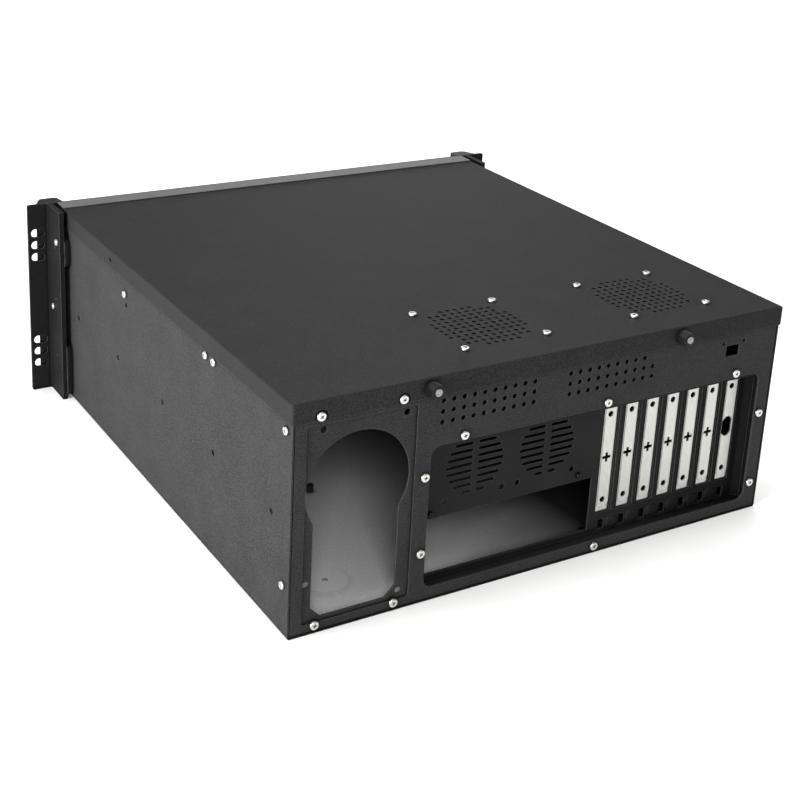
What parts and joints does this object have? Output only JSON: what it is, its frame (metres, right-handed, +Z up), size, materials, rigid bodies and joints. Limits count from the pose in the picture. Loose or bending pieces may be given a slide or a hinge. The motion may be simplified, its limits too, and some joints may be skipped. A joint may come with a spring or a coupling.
{
  "type": "empty rackmount server case",
  "caption": "Folded-steel rackmount server case with vented top cover, recessed rear I/O pan with card slots, power supply opening and slotted rack ears.",
  "frame": {"origin": "middle of the footprint, on the underside", "axes": "+Z up, +Y towards the rear panel, +X to the left of someone facing the rear"},
  "size_m": [0.4826, 0.4872, 0.178],
  "materials": {
    "black_powder_coat": "fine-grain satin powder coat",
    "column_coat": "satin paint",
    "zinc_sheet": "zinc-plated sheet",
    "nickel_sheet": "nickel-plated, matt",
    "nickel_screws": "bright plated",
    "brass": "turned",
    "front_plastic": "textured moulding",
    "knob_plastic": "knurled moulding",
    "fan_plastic": "moulded",
    "clear_lens": "clear"
  },
  "bodies": {
    "case": {"chassis_tray": "black_powder_coat", "rear_panel": "black_powder_coat", "psu_plate": "black_powder_coat", "io_panel": "black_powder_coat", "front_frame": "black_powder_coat", "front_panel": "black_powder_coat", "rack_ear_left": "black_powder_coat", "rack_ear_right": "black_powder_coat", "hold_down_bar": "black_powder_coat", "front_column_left": "column_coat", "front_column_right": "column_coat", "drive_cage": "zinc_sheet", "disk_cage": "zinc_sheet", "slot_cover_1": "nickel_sheet", "slot_cover_2": "nickel_sheet", "slot_cover_3": "nickel_sheet", "slot_cover_4": "nickel_sheet", "slot_cover_5": "nickel_sheet", "slot_cover_6": "nickel_sheet", "slot_cover_7": "nickel_sheet", "io_panel_rim_screws": "nickel_screws", "psu_plate_screws": "nickel_screws", "io_panel_small_screws": "nickel_screws", "side_screws": "nickel_screws", "ear_screws": "nickel_screws", "slot_cover_screws": "nickel_screws", "motherboard_standoffs": "brass", "bay_cover_1": "front_plastic", "bay_cover_2": "front_plastic", "bay_cover_3": "front_plastic", "power_lens": "clear_lens", "disk_lens": "clear_lens"},
    "cover": {"top_cover": "black_powder_coat", "fan_screws": "nickel_screws", "fan_frame_left": "fan_plastic", "fan_frame_right": "fan_plastic"},
    "fan_rotor_left": {"fan_rotor_left": "fan_plastic"},
    "fan_rotor_right": {"fan_rotor_right": "fan_plastic"},
    "thumbscrew_left": {"thumbscrew_knob_left": "knob_plastic", "thumbscrew_screw_left": "nickel_screws"},
    "thumbscrew_right": {"thumbscrew_knob_right": "knob_plastic", "thumbscrew_screw_right": "nickel_screws"},
    "power_button": {"power_button": "front_plastic"},
    "reset_button": {"reset_button": "front_plastic"}
  },
  "joints": [
    {"name": "cover_slide", "type": "slide", "parent": "case", "child": "cover", "axis": [0, 1, 0], "range_m": [0, 0.012]},
    {"name": "fan_left_spin", "type": "hinge", "parent": "cover", "child": "fan_rotor_left", "pos_m": [0.0274, 0.16595, 0.162], "axis": [0, 0, 1], "continuous": true},
    {"name": "fan_right_spin", "type": "hinge", "parent": "cover", "child": "fan_rotor_right", "pos_m": [-0.126, 0.16595, 0.162], "axis": [0, 0, 1], "continuous": true},
    {"name": "thumbscrew_left_turn", "type": "hinge", "parent": "cover", "child": "thumbscrew_left", "pos_m": [0.11, 0.23745, 0.1684], "axis": [0, 1, 0], "continuous": true},
    {"name": "thumbscrew_right_turn", "type": "hinge", "parent": "cover", "child": "thumbscrew_right", "pos_m": [-0.112, 0.23745, 0.1684], "axis": [0, 1, 0], "continuous": true},
    {"name": "power_press", "type": "slide", "parent": "case", "child": "power_button", "axis": [0, 1, 0], "range_m": [0, 0.0015], "stiffness_N_per_m": 900},
    {"name": "reset_press", "type": "slide", "parent": "case", "child": "reset_button", "axis": [0, 1, 0], "range_m": [0, 0.0015], "stiffness_N_per_m": 900}
  ]
}
